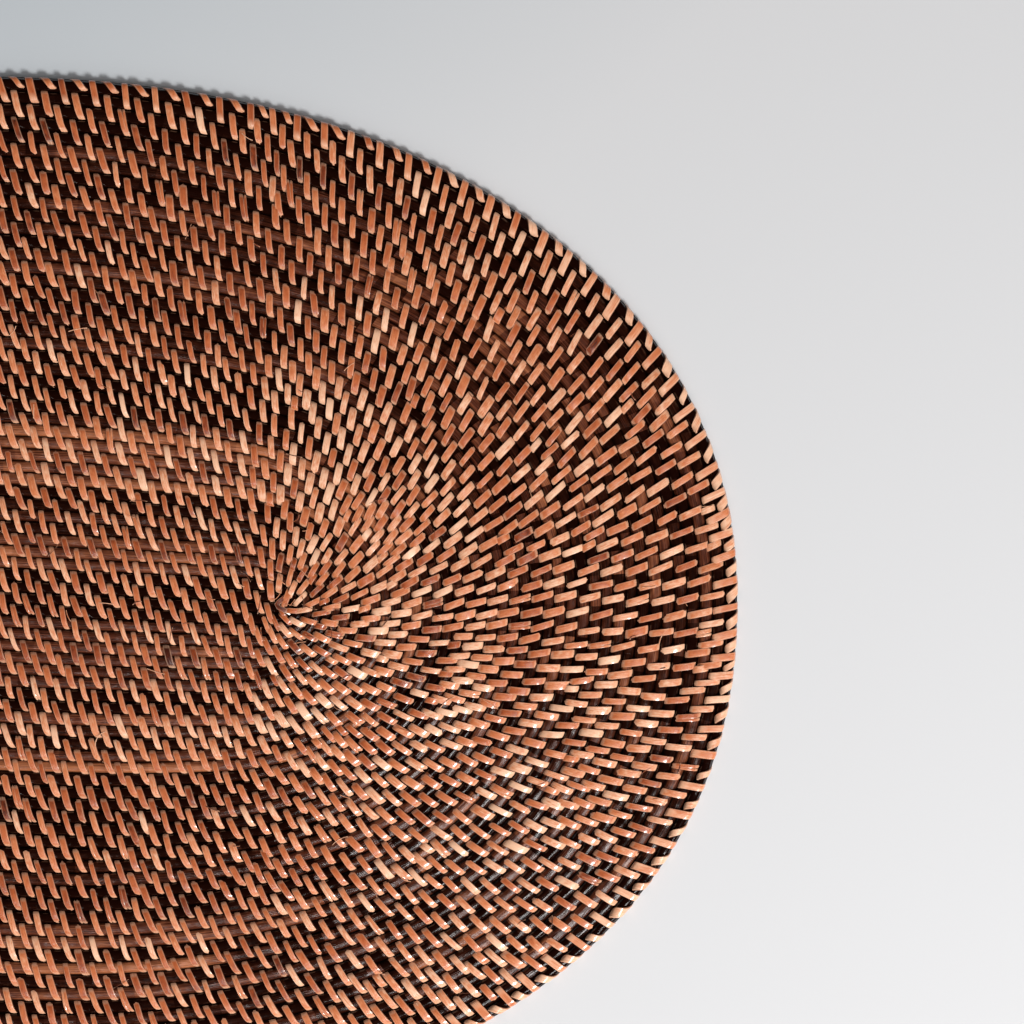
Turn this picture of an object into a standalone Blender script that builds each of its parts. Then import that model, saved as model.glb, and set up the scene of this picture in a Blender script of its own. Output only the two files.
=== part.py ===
"""An oval placemat of coiled nito vine, as one closed solid.

One long round core is wound flat round a straight start and bound row to row, so the mat is a single
piece: a spiral of ribs on its face, a rounded rim and a flat underside. The core's end tapers away on
the rim just past the -X tip.

Axes: +X along the mat, +Y across it, +Z up. The origin is the middle of the underside.
"""

import math

import bpy
import numpy as np

# Driving sizes, in metres.
MAT_LENGTH = 0.457
MAT_WIDTH = 0.330
MAT_THICKNESS = 0.0043
START_LENGTH = 0.167
RIB_DEPTH = 0.0010

# The coil. Rows are counted outwards from the start line, which is row 0. They lie a little further
# apart near the edge than near the start, by these shares round the ends and along the sides.
ROWS = 41
END_SPREAD = 0.17
SIDE_SPREAD = 0.0675
OVAL_EXPONENT = 2.186
OVAL_GROWTH = 0.57

# How a turn is divided: steps round a quarter of the mat, first along its end and then along its side.
END_STEPS = 9
SIDE_STEPS = 6
QUARTER = END_STEPS + SIDE_STEPS
AROUND = 4 * QUARTER
TIP_LEAD = 0.0855

# The rim's section under its crest: how far in from the edge each line lies, in rows, and its height as
# a share of the thickness. The first line is the shoulder, and the last is the edge of the flat foot.
RIM_SECTION = ((0.14, 0.84), (0.0, 0.50), (0.10, 0.14), (0.22, 0.0))

CORE_COLOUR = (0.045, 0.022, 0.014, 1.0)
CORE_ROUGHNESS = 0.45

HALF_START = START_LENGTH / 2
EDGE_ROW = ROWS + 0.5

# The coil is followed by its step number. Step 0 is the start line's +X tip, and a turn has AROUND steps.
# It moves out by a row round each -X end, between BEND_START and BEND_END.
BEND_START = 2 * QUARTER - END_STEPS
BEND_END = 2 * QUARTER + END_STEPS
COIL_END = ROWS * AROUND + 2 * QUARTER + 1


def clear_scene():
    """Remove every object that the file holds."""
    for item in list(bpy.data.objects):
        bpy.data.objects.remove(item, do_unlink=True)


def core_material():
    """The dark, satin surface of dried nito."""
    material = bpy.data.materials.new("nito_core")
    material.use_nodes = True
    shader = material.node_tree.nodes["Principled BSDF"]
    shader.inputs["Base Color"].default_value = CORE_COLOUR
    shader.inputs["Roughness"].default_value = CORE_ROUGHNESS
    shader.inputs["Metallic"].default_value = 0.0
    return material


def row_point(row, step):
    """The points (x, y) where arrays of rows and steps meet, steps running anticlockwise from the +X tip.

    A row is a blend of two curves of the same length and width: a track, which is the start line with
    round ends, and an oval |x/a|^n + |y/b|^n = 1. The oval's share is (row / edge row) ^ OVAL_GROWTH.
    """
    around = np.mod(step, AROUND) / QUARTER
    quadrant = np.floor(around)
    along = np.where(quadrant % 2 == 0, around - quadrant, 1 - (around - quadrant))
    sign_x = np.where((quadrant == 0) | (quadrant == 3), 1.0, -1.0)
    sign_y = np.where(quadrant < 2, 1.0, -1.0)

    out = row / EDGE_ROW
    reach = (MAT_LENGTH / 2 - HALF_START) * out * (1 - END_SPREAD + END_SPREAD * out)
    half_width = MAT_WIDTH / 2 * out * (1 - SIDE_SPREAD + SIDE_SPREAD * out)

    end_share = END_STEPS / QUARTER
    turn = math.pi / 2 * np.clip(along / end_share, 0, 1)
    straight = np.clip((along - end_share) / (1 - end_share), 0, 1)
    track_x = HALF_START * (1 - straight) + reach * np.cos(turn)
    track_y = half_width * np.sin(turn)

    angle = math.pi / 2 * (along + TIP_LEAD * np.sin(math.pi * along))
    oval_x = (HALF_START + reach) * np.clip(np.cos(angle), 0, 1) ** (2 / OVAL_EXPONENT)
    oval_y = half_width * np.clip(np.sin(angle), 0, 1) ** (2 / OVAL_EXPONENT)

    oval_share = out**OVAL_GROWTH
    x = (1 - oval_share) * track_x + oval_share * oval_x
    y = (1 - oval_share) * track_y + oval_share * oval_y
    return sign_x * x, sign_y * y


def core_rows(step):
    """The row where the core's middle lies at each step: its turn, and a cosine ramp round the -X end."""
    turn = np.floor(step / AROUND)
    bend = np.clip((np.mod(step, AROUND) - BEND_START) / (BEND_END - BEND_START), 0, 1)
    return turn + (1 - np.cos(math.pi * bend)) / 2


def outer_rows(step):
    """The row of the core's outer side, half a row out and never past the mat's edge."""
    return np.minimum(core_rows(step) + 0.5, EDGE_ROW)


class Shell:
    """The solid's points, stacked line by line, and its faces."""

    def __init__(self):
        self.points = []
        self.faces = []

    def line(self, rows, steps, heights):
        """Add a line of points, and return their numbers by step."""
        x, y = row_point(rows, steps)
        first = len(self.points)
        self.points += list(zip(x, y, np.broadcast_to(heights, x.shape)))
        return dict(zip(steps.tolist(), range(first, len(self.points))))

    def strip(self, left, right, steps):
        """Join two lines by faces, seen from outside with the coil running away from the eye."""
        for step in steps:
            corners = (left[step], right[step], right[step + 1], left[step + 1])
            face = list(dict.fromkeys(corners))
            if len(face) > 2:
                self.faces.append(face)


def coil_shell():
    """The ribs along the whole coil, then the rim, the coil's cut end and the underside."""
    shell = Shell()
    rim_start = COIL_END - AROUND
    valley_steps = np.arange(-BEND_START, rim_start)
    crest_steps = np.arange(END_STEPS, COIL_END + 1)
    rim_steps = np.arange(rim_start, COIL_END + 1)

    # A crest runs midway between its row's two sides, and sinks where the coil's end tapers.
    sides = core_rows(crest_steps) - 0.5, outer_rows(crest_steps)
    crest_height = MAT_THICKNESS - RIB_DEPTH * (1 - (sides[1] - sides[0]))
    crest = shell.line((sides[0] + sides[1]) / 2, crest_steps, crest_height)
    crest.update((step, crest[END_STEPS]) for step in range(END_STEPS))

    # A row's outer valley is the next row's inner one. Along the rim the shoulder takes its place.
    outer = shell.line(outer_rows(valley_steps), valley_steps, MAT_THICKNESS - RIB_DEPTH)
    rim = [
        shell.line(outer_rows(rim_steps) - inset, rim_steps, MAT_THICKNESS * share)
        for inset, share in RIM_SECTION
    ]
    outer.update(rim[0])

    # The start line's two valleys meet round its +X tip, and its first bend turns about one point.
    inner = {
        step: outer[max(step - AROUND, -min(step, BEND_START))]
        for step in range(COIL_END + 1)
    }
    shell.strip(inner, crest, range(COIL_END))
    shell.strip(crest, outer, range(COIL_END))
    for upper, lower in zip(rim, rim[1:]):
        shell.strip(upper, lower, range(rim_start, COIL_END))

    coil_end = [crest[COIL_END]] + [line[COIL_END] for line in rim]
    coil_end += [line[rim_start] for line in reversed(rim)]
    shell.faces.append(coil_end)
    shell.faces.append([rim[-1][step] for step in reversed(rim_steps.tolist())])
    return shell


def build_mat():
    """The mat as one object."""
    shell = coil_shell()
    mesh = bpy.data.meshes.new("coiled_mat")
    mesh.from_pydata(shell.points, [], shell.faces)
    mesh.materials.append(core_material())
    mesh.shade_smooth()
    mesh.set_sharp_from_angle(angle=math.radians(60))
    mat = bpy.data.objects.new("coiled_mat", mesh)
    bpy.context.scene.collection.objects.link(mat)


clear_scene()
build_mat()
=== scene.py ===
"""The looks of an oval placemat of coiled nito vine.

A long core of dark vine strands is wound flat round a straight start. A paler split vine binds it: each
stitch lies over two rows, and each set of stitches sits between the stitches of the set before it.
"""

import math

import bpy
import numpy as np
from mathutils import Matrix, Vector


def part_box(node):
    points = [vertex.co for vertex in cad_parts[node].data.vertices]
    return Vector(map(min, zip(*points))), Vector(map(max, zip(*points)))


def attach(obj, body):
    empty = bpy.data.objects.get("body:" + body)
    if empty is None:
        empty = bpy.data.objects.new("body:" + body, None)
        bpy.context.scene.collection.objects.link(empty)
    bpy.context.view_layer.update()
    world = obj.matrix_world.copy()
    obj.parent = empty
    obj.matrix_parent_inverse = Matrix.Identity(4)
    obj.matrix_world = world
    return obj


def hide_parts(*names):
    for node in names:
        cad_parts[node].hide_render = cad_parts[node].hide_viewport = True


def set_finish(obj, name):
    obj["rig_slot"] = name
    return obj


bl_info = {
    "name": "Coiled nito placemat",
    "version": (1, 0, 0),
    "blender": (4, 5, 0),
    "location": "3D View > Sidebar > Placemat",
    "description": "An oval placemat of coiled nito vine, bound row to row with split vine",
    "category": "Add Mesh",
}

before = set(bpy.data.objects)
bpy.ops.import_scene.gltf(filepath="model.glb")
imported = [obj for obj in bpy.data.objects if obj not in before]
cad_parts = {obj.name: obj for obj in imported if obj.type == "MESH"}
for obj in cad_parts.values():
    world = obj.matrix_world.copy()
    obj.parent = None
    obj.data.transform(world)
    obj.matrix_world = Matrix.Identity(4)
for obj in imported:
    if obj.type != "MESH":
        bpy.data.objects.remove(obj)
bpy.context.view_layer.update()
MAT_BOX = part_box("coiled_mat")

MM = 0.001

# The coil, as in the part's source. A turn has AROUND steps from the +X tip, and moves out by a row
# round each -X end, between BEND_START and BEND_END.
ROWS = 41
EDGE_ROW = ROWS + 0.5
END_SPREAD = 0.17
SIDE_SPREAD = 0.0675
OVAL_EXPONENT = 2.186
OVAL_GROWTH = 0.57
END_STEPS = 9
SIDE_STEPS = 6
QUARTER = END_STEPS + SIDE_STEPS
AROUND = 4 * QUARTER
TIP_LEAD = 0.0855
BEND_START = 2 * QUARTER - END_STEPS
BEND_END = 2 * QUARTER + END_STEPS
COIL_END = ROWS * AROUND + 2 * QUARTER + 1
RIM_START = COIL_END - AROUND
LINE_POINTS = 160001

# The core's section: how far out from the row's middle, in rows, and how high, in millimetres.
CORE_TOP = (
    (-0.44, 2.70), (-0.35, 3.20), (-0.19, 3.54), (0.0, 3.64), (0.19, 3.54), (0.35, 3.20), (0.44, 2.70),
)
CORE_TOP_VALLEY = 2.15
CORE_FOOT = ((-0.34, 0.62), (0.0, 0.42), (0.34, 0.62))
CORE_FOOT_VALLEY = 1.35
CORE_STEPS = 160

# How far the core stays inside the wraps, in rows. Its edge: rows beyond the valley, and height in
# millimetres. How far its valleys wander in plan, in rows, and they and its strands in height.
CORE_INSET = 0.09
CORE_EDGE = (0.04, 2.1)
VALLEY_WANDER = 0.035
VALLEY_LIFT = 0.03
STRAND_LIFT = 0.035

# The core's vine as it goes on: turn where a length starts, and its tone from 0, black, to 1, tan.
CORE_LENGTHS = (
    (0.0, 0.10), (1.62, 0.42), (1.85, 0.14), (2.62, 0.52), (2.85, 0.62), (3.62, 0.56), (3.83, 0.76),
    (4.62, 0.50), (4.83, 0.58), (5.62, 0.46), (6.05, 0.38), (6.62, 0.54), (7.05, 0.46), (7.58, 0.12),
    (8.05, 0.20), (8.60, 0.14), (9.70, 0.52), (9.95, 0.72), (10.62, 0.46), (11.0, 0.66), (11.62, 0.28),
    (12.0, 0.62), (12.7, 0.50), (12.97, 0.68), (13.65, 0.84), (14.6, 0.28), (15.05, 0.44),
    (15.55, 0.06), (16.6, 0.10), (17.83, 0.36), (18.1, 0.12), (19.2, 0.48), (19.4, 0.14), (20.9, 0.42),
    (21.4, 0.20), (21.85, 0.42), (22.15, 0.26), (22.6, 0.42), (22.9, 0.24), (23.55, 0.06), (24.6, 0.12),
    (25.9, 0.48), (26.2, 0.26), (26.65, 0.60), (27.25, 0.40), (27.65, 0.52), (28.2, 0.28),
    (28.75, 0.12), (29.6, 0.78), (29.83, 0.48), (30.15, 0.30), (30.9, 0.58), (31.13, 0.30),
    (31.65, 0.44), (32.25, 0.18), (32.9, 0.62), (33.1, 0.24), (34.1, 0.10), (34.87, 0.50), (35.1, 0.28),
    (35.7, 0.44), (36.25, 0.16), (36.7, 0.22), (37.1, 0.10), (37.65, 0.20), (38.1, 0.12), (38.9, 0.60),
    (39.06, 0.12), (39.8, 0.16), (40.1, 0.06),
)

# The distance between a set's stitches round the mat's ends: row, millimetres.
END_SPACING = (
    (0.5, 3.6), (1.5, 4.1), (2.5, 4.7), (5.5, 5.4), (10.0, 6.2), (20.0, 7.3), (30.0, 8.2), (41.0, 8.8),
)

# A stitch along its length: share of its half length, millimetres below the mat's face, share of width.
STITCH_COURSE = (
    (-1.0, 1.50, 0.92), (-0.91, 1.02, 0.97), (-0.80, 0.67, 1.0), (-0.66, 0.40, 1.0), (-0.40, 0.13, 1.0),
    (0.0, 0.0, 1.0),
    (0.40, 0.13, 1.0), (0.66, 0.40, 1.0), (0.80, 0.67, 0.99), (0.91, 1.02, 0.97), (1.0, 1.50, 0.92),
)
FOOT_COURSE = ((-1.0, 1.1), (-0.86, 0.3), (-0.4, 0.0), (0.0, 0.05), (0.4, 0.0), (0.86, 0.3), (1.0, 1.1))

# A splint's section: share of its half width, millimetres above its face.
SPLINT_SECTION = ((-1.0, -0.55), (-0.86, -0.06), (0.0, 0.07), (0.86, -0.06), (1.0, -0.55))
FIBRE_SECTION = ((-1.0, -0.06), (0.0, 0.06), (1.0, -0.06))
FOOT_SECTION = ((-1.0, -0.3), (-0.8, 0.0), (0.8, 0.0), (1.0, -0.3))

# A rim wrap from the valley inside the last row, over the edge and back beneath: share of the row's
# width outwards, height in millimetres.
WRAP_TOP = ((0.12, 2.95), (0.19, 3.66), (0.32, 4.12), (0.54, 4.28))
WRAP_EDGE = (
    (0.70, 4.14), (0.86, 3.72), (0.96, 3.02), (1.0, 2.15), (0.96, 1.28), (0.86, 0.58), (0.70, 0.16),
)
WRAP_FOOT = ((0.50, 0.02), (0.26, 0.16), (0.10, 0.58), (0.0, 1.3))
LONG_TOP = ((-0.95, 3.0), (-0.87, 3.68), (-0.74, 4.14), (-0.4, 4.3), (0.05, 4.26), (0.45, 4.3))
LONG_FOOT = ((0.45, 0.0), (0.0, 0.04), (-0.45, 0.0), (-0.78, 0.2), (-0.95, 1.2))

# The steps of the stitches that bind the start line's +X tip, and of those round its -X tip.
TIP_STITCHES = (-3.5, 2.5)
TURN_STITCHES = (24.0, 29.0, 34.0)

# A set's stitches against the wanted gap: under NARROW_GAP a stitch is left out, over WIDE_GAP one is
# added. Then each goes EVENING of the way to the middle of its neighbours, EVENING_PASSES times, round
# the ends and within EVENING_REACH stitches of an added one. WIDEST_GAP is what may be left in the end.
NARROW_GAP = 0.56
WIDE_GAP = 1.27
WIDEST_GAP = 1.40
EVENING = 0.22
EVENING_PASSES = 3
EVENING_REACH = 3

# How unevenly the hand work lies: shares of the gap, reach, width and bend, then angles and millimetres.
PLACE_SPREAD = 0.035
REACH_SPREAD = 0.035
WIDTH_SPREAD = 0.06
BEND_SPREAD = 0.2
LEAN_SPREAD = math.radians(2.4)
ROLL_SPREAD = math.radians(3.5)
LIFT_SPREAD = 0.05

# An added stitch round the ends starts this share of a row inside its valley, as its neighbours leave
# no room further in. A few stitches are split into two halves: place across, share of the width.
ADDED_REACH = 0.30
SPLIT_SHARE = 0.03
SPLIT_HALVES = ((-0.56, 0.40), (0.34, 0.62))

# The splint turned back round the start line's tip: millimetres from the tip, and above the mat's face.
TURN_COURSE = (
    (3.4, 4.9, -1.0), (1.6, 3.1, -0.2), (0.2, 1.9, 0.0), (-0.4, 1.1, 0.05), (0.1, 0.35, 0.02),
    (1.9, -0.5, -0.1), (4.0, -1.4, -0.9),
)
TURN_HALF_WIDTH = 0.00086

# The loose fibres: how many, the points along each, and the shares that lie at the start line's tip and
# that are dark. Then, in metres, how far they lie from a stitch or from the tip, and the ranges of
# their lengths and half widths.
FIBRES = 150
FIBRE_STATIONS = 6
FIBRES_AT_TIP = 0.12
DARK_FIBRES = 0.45
FIBRE_PLACE = 0.0012
FIBRE_TIP_PLACE = (0.009, 0.006)
FIBRE_LENGTH = (0.0022, 0.0062)
FIBRE_HALF_WIDTH = (0.00007, 0.00017)

# The short wraps: the spreads of their lean and width, their tone on the sides, what is added
# round the +X end, the spread of it, and the share that is darker by WRAP_DARKER.
WRAP_LEAN_SPREAD = math.radians(4)
WRAP_WIDTH_SPREAD = 0.12
WRAP_TONE = 0.24
WRAP_END_TONE = -0.28
WRAP_TONE_SPREAD = 0.16
DARK_WRAPS = 0.08
WRAP_DARKER = 0.25

# The stage, in metres, watts and radians. The view's width is that of what it shows at the mat's face.
FLOOR_HALF = 2.5
FLOOR_LEVEL = -0.0002
KEYS = (("soft_key", 2.8, 24.5), ("small_key", 0.42, 29.5))
KEY_PLACE = (0.80, -0.93, 1.33)
KEY_AIM = (0.12, 0.0, 0.0)
SKY_STRENGTH = 0.14
VIEW_CENTRE = (0.1558, 0.0332)
VIEW_WIDTH = 0.3234
VIEW_TURN = math.radians(2.2)
LENS = 85.0
SENSOR = 36.0


def length_property(name, description, default):
    """A length that the panel shows."""
    return bpy.props.FloatProperty(name=name, description=description, default=default, unit="LENGTH")


def angle_property(name, description, degrees):
    """An angle that the panel shows."""
    return bpy.props.FloatProperty(
        name=name, description=description, default=math.radians(degrees), subtype="ANGLE", unit="ROTATION"
    )


def colour_property(name, description, default):
    """A colour that the panel shows."""
    return bpy.props.FloatVectorProperty(
        name=name, description=description, default=default, subtype="COLOR", min=0, max=1
    )


class PLACEMAT_PG_sizes(bpy.types.PropertyGroup):
    """The mat's sizes."""

    mat_length: length_property("Mat length", "The oval's length", MAT_BOX[1][0] - MAT_BOX[0][0])
    mat_width: length_property("Mat width", "The oval's width", MAT_BOX[1][1] - MAT_BOX[0][1])
    mat_thickness: length_property(
        "Mat thickness", "From the foot to the face of the stitches", MAT_BOX[1][2] - MAT_BOX[0][2]
    )
    start_length: length_property(
        "Start length", "The straight start that the core is wound round", 0.167
    )
    stitch_width: length_property("Stitch width", "The width of the split vine", 0.0021)
    stitch_reach: bpy.props.FloatProperty(
        name="Stitch reach",
        description="How far a stitch reaches to each side of its valley, in rows",
        default=0.96,
    )
    side_spacing: length_property(
        "Side spacing", "The distance between a set's stitches along the sides", 0.0075
    )
    side_lean: angle_property(
        "Side lean", "How far a stitch on the sides leans from square across the rows", 16
    )
    end_lean: angle_property(
        "End lean", "How far a stitch round the ends leans from square across the rows", 13.5
    )
    side_bend: length_property(
        "Side bend", "How far a stitch on the sides swings along the row as it dips into a valley", 0.00045
    )
    wrap_lean: angle_property("Rim wrap lean", "How far a short wrap on the rim leans", 36)
    wrap_place: bpy.props.FloatProperty(
        name="Rim wrap place",
        description="How far on from an edge stitch to the next a short wrap starts, as a share",
        default=0.30,
    )
    wrap_width: length_property("Rim wrap width", "The width of the short wraps on the rim", 0.0024)
    seed: bpy.props.IntProperty(
        name="Seed",
        description="Changes the small unevenness of the hand work",
        default=7,
    )


class PLACEMAT_PG_colours(bpy.types.PropertyGroup):
    """The colours of the vine and of the stage."""

    # The palest splint is also mixed onto every splint's edges and ends, as wear and as painted highlight.
    splint_pale: colour_property("Palest splint", "Pale inner vine and worn edges", (0.86, 0.50, 0.32))
    splint_tan: colour_property("Tan splint", "The lighter splints", (0.65, 0.205, 0.080))
    splint_copper: colour_property("Copper splint", "The commonest splints", (0.47, 0.110, 0.034))
    splint_red: colour_property("Red-brown splint", "The darker splints", (0.26, 0.050, 0.016))
    # The darkest splint also paints the shade along every splint's sloping sides.
    splint_dark: colour_property("Darkest splint", "Bark left on a splint", (0.060, 0.012, 0.006))
    # The black core also paints the shade in the valleys between rows.
    core_black: colour_property("Black core", "The commonest core strands", (0.0066, 0.0014, 0.0007))
    core_brown: colour_property("Brown core", "Dark brown core strands", (0.090, 0.0205, 0.0085))
    core_tan: colour_property("Tan core", "The lightest core strands", (0.40, 0.135, 0.055))
    floor_grey: colour_property("Floor", "The pale floor", (0.594, 0.596, 0.608))
    # Painted shade: the floor's colour towards its far corner, darker and bluer where less light falls.
    floor_far_shade: colour_property("Far floor", "The floor beyond the mat's far side", (0.445, 0.487, 0.52))


class Coil:
    """The mat's plan. Rows are counted out from the start line, and steps run anticlockwise."""

    def __init__(self, sizes):
        self.half_start = sizes.start_length / 2
        self.end_reach = sizes.mat_length / 2 - self.half_start
        self.half_width = sizes.mat_width / 2
        self.side_spacing = sizes.side_spacing
        self.steps = np.linspace(-BEND_START, COIL_END, LINE_POINTS)
        rows = np.minimum(core_rows(self.steps) + 0.5, EDGE_ROW)
        points = self.point(rows, self.steps)
        along = np.hypot(*np.diff(points, axis=0).T)
        self.lengths = np.concatenate([[0.0], np.cumsum(along)])

    def point(self, row, step):
        """A row blends a track, the start line with round ends, with an oval |x/a|^n + |y/b|^n = 1.

        The oval's share is (row / edge row) ^ OVAL_GROWTH.
        """
        quadrant, along = quarter_of(step)
        sign_x = np.where((quadrant == 0) | (quadrant == 3), 1.0, -1.0)
        sign_y = np.where(quadrant < 2, 1.0, -1.0)
        out = np.maximum(row, 0) / EDGE_ROW
        reach = self.end_reach * out * (1 - END_SPREAD + END_SPREAD * out)
        half_width = self.half_width * out * (1 - SIDE_SPREAD + SIDE_SPREAD * out)
        end_share = END_STEPS / QUARTER
        turn = math.pi / 2 * np.clip(along / end_share, 0, 1)
        straight = np.clip((along - end_share) / (1 - end_share), 0, 1)
        track_x = self.half_start * (1 - straight) + reach * np.cos(turn)
        track_y = half_width * np.sin(turn)
        angle = math.pi / 2 * (along + TIP_LEAD * np.sin(math.pi * along))
        oval_x = (self.half_start + reach) * np.clip(np.cos(angle), 0, 1) ** (2 / OVAL_EXPONENT)
        oval_y = half_width * np.clip(np.sin(angle), 0, 1) ** (2 / OVAL_EXPONENT)
        oval_share = out**OVAL_GROWTH
        x = (1 - oval_share) * track_x + oval_share * oval_x
        y = (1 - oval_share) * track_y + oval_share * oval_y
        return np.stack([sign_x * x, sign_y * y], axis=-1)

    def length_at(self, step):
        """The length of the valley line from its start to each step."""
        return np.interp(step, self.steps, self.lengths)

    def step_at(self, length):
        """The step where the valley line has each length."""
        return np.interp(length, self.lengths, self.steps)

    def valley(self, step):
        """The point of the valley line outside the core at each step, its tangent, normal and row pitch.

        The tangent is the difference of two points a little apart on the row, the normal is square to
        it and points outwards, and the pitch is the distance to the next row along the normal.
        """
        row = core_rows(step) + 0.5
        centre = self.point(row, step)
        tangent = self.point(row, step + 0.05) - self.point(row, step - 0.05)
        tangent /= np.linalg.norm(tangent, axis=-1, keepdims=True)
        normal = np.stack([tangent[..., 1], -tangent[..., 0]], axis=-1)
        outward = (self.point(row + 0.4, step) - self.point(row - 0.4, step)) / 0.8
        pitch = np.sum(outward * normal, axis=-1)
        return centre, tangent, normal, pitch

    def end_share(self, step):
        """1 round the mat's ends and 0 along its sides, with a soft change between them."""
        _, along = quarter_of(step)
        share = np.clip((0.72 - along) / 0.3, 0, 1)
        return share * share * (3 - 2 * share)

    def spacing(self, step):
        """The wanted distance between a set's stitches: the side's or the end's, by the place's share."""
        rows, gaps = np.array(END_SPACING).T
        at_end = np.interp(core_rows(step) + 0.5, rows, gaps) * MM
        at_side = self.side_spacing * (1 + 0.15 * np.clip((core_rows(step) - 12) / (ROWS - 12), 0, 1))
        share = self.end_share(step)
        return share * at_end + (1 - share) * at_side


def quarter_of(step):
    """The quarter turn that a step lies in, and its share of the way from the mat's tip to its side."""
    around = np.mod(step, AROUND) / QUARTER
    quadrant = np.floor(around)
    return quadrant, np.where(quadrant % 2 == 0, around - quadrant, 1 - (around - quadrant))


def core_rows(step):
    """The row of the core's middle: its turn, and a cosine ramp round the -X end."""
    turn = np.floor(step / AROUND)
    bend = np.clip((np.mod(step, AROUND) - BEND_START) / (BEND_END - BEND_START), 0, 1)
    return turn + (1 - np.cos(math.pi * bend)) / 2


def smooth_noise(rng, count, reach):
    """Unit noise along a line: normal numbers averaged over a bell of the given reach."""
    bell = np.exp(-np.linspace(-2, 2, 4 * reach + 1) ** 2)
    bell /= np.sqrt(np.sum(bell**2))
    return np.convolve(rng.normal(size=count + 4 * reach), bell, mode="valid")


def first_set(coil, sizes):
    """The steps of the first stitches, from the start line's -X end round its +X tip and back.

    Those above the line stand midway between those below it, and two bind the +X tip.
    """
    half = sizes.start_length / 2
    count = int(round((2 * half - 0.004) / sizes.side_spacing))
    below = np.linspace(-half + 0.003, half - 0.003, count)
    above = (below[1:] + below[:-1])[::-1] / 2
    grid = np.linspace(-BEND_START, -END_STEPS, 400)
    steps_below = np.interp(below, coil.point(grid * 0 + 0.5, grid)[:, 0], grid)
    grid = np.linspace(END_STEPS, BEND_START, 400)
    steps_above = np.interp(-above, -coil.point(grid * 0 + 0.5, grid)[:, 0], grid)
    return np.concatenate([steps_below, TIP_STITCHES, steps_above, TURN_STITCHES])


def next_set(coil, previous, rng):
    """The steps of the set outside a set: midway between its stitches, straight out by one row.

    A gap much wider than wanted takes one more stitch, and one much narrower loses a stitch, apart from
    the first gap, which both sets share. Also gives which stitches were added.
    """

    def outward(lengths):
        inner = coil.step_at(lengths)
        centre, tangent, _, _ = coil.valley(inner)
        outer = inner + AROUND
        for _ in range(4):
            miss = np.sum((coil.valley(outer)[0] - centre) * tangent, axis=-1)
            ahead = np.sum((coil.valley(outer + 0.05)[0] - centre) * tangent, axis=-1)
            outer = outer - np.clip(miss / np.maximum((ahead - miss) / 0.05, 1e-4), -1.5, 1.5)
        return outer

    lengths = coil.length_at(previous)
    following = outward((lengths[1:] + lengths[:-1]) / 2)
    last = outward(np.array([(lengths[-1] + coil.length_at(following[0])) / 2]))
    following = coil.length_at(np.concatenate([following, last]))

    wanted = coil.spacing(coil.step_at(following))
    gaps = np.diff(np.concatenate([lengths[-1:], following])) / wanted
    gaps[0] = 1.0
    keep = gaps > NARROW_GAP
    wide = np.nonzero(gaps > WIDE_GAP)[0]
    extra = following[wide] - gaps[wide] * wanted[wide] / 2
    following = np.concatenate([following[keep], extra])
    order = np.argsort(following)
    following, added = following[order], (order >= np.sum(keep))
    near = (np.convolve(added, np.ones(2 * EVENING_REACH + 1), mode="same") > 0)[1:-1]
    for _ in range(EVENING_PASSES):
        middle = (following[2:] + following[:-2]) / 2
        share = EVENING * np.maximum(coil.end_share(coil.step_at(following[1:-1])), near)
        following[1:-1] = following[1:-1] * (1 - share) + middle * share
    following += rng.normal(size=len(following)) * PLACE_SPREAD * coil.spacing(coil.step_at(following))
    return coil.step_at(following), added


def stitch_steps(coil, sizes):
    """The steps of all the stitches, as one spiral, and which were added between the set's own.

    A gap that is still over WIDEST_GAP takes one more stitch in its middle.
    """
    rng = np.random.default_rng(sizes.seed)
    sets = [first_set(coil, sizes)]
    flags = [np.zeros(len(sets[0]), dtype=bool)]
    while sets[-1][-1] < RIM_START:
        following, added = next_set(coil, sets[-1], rng)
        sets.append(following)
        flags.append(added)
    steps, added = np.concatenate(sets), np.concatenate(flags)
    order = np.argsort(steps, kind="stable")
    order = order[steps[order] < RIM_START - 0.5]
    steps, added = steps[order], added[order]
    lengths = coil.length_at(steps)
    wide = np.nonzero(np.diff(lengths) > WIDEST_GAP * coil.spacing(steps[1:]))[0]
    between = coil.step_at((lengths[wide] + lengths[wide + 1]) / 2)
    return np.insert(steps, wide + 1, between), np.insert(added, wide + 1, False)


def runs_of_tone(rng, count, shortest, longest, low, high):
    """One tone for each item, the same along a run of neighbours, as they come from one length of vine."""
    lengths = rng.integers(shortest, longest, size=count)
    tones = rng.uniform(low, high, size=count)
    return np.repeat(tones, lengths)[:count]


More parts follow.
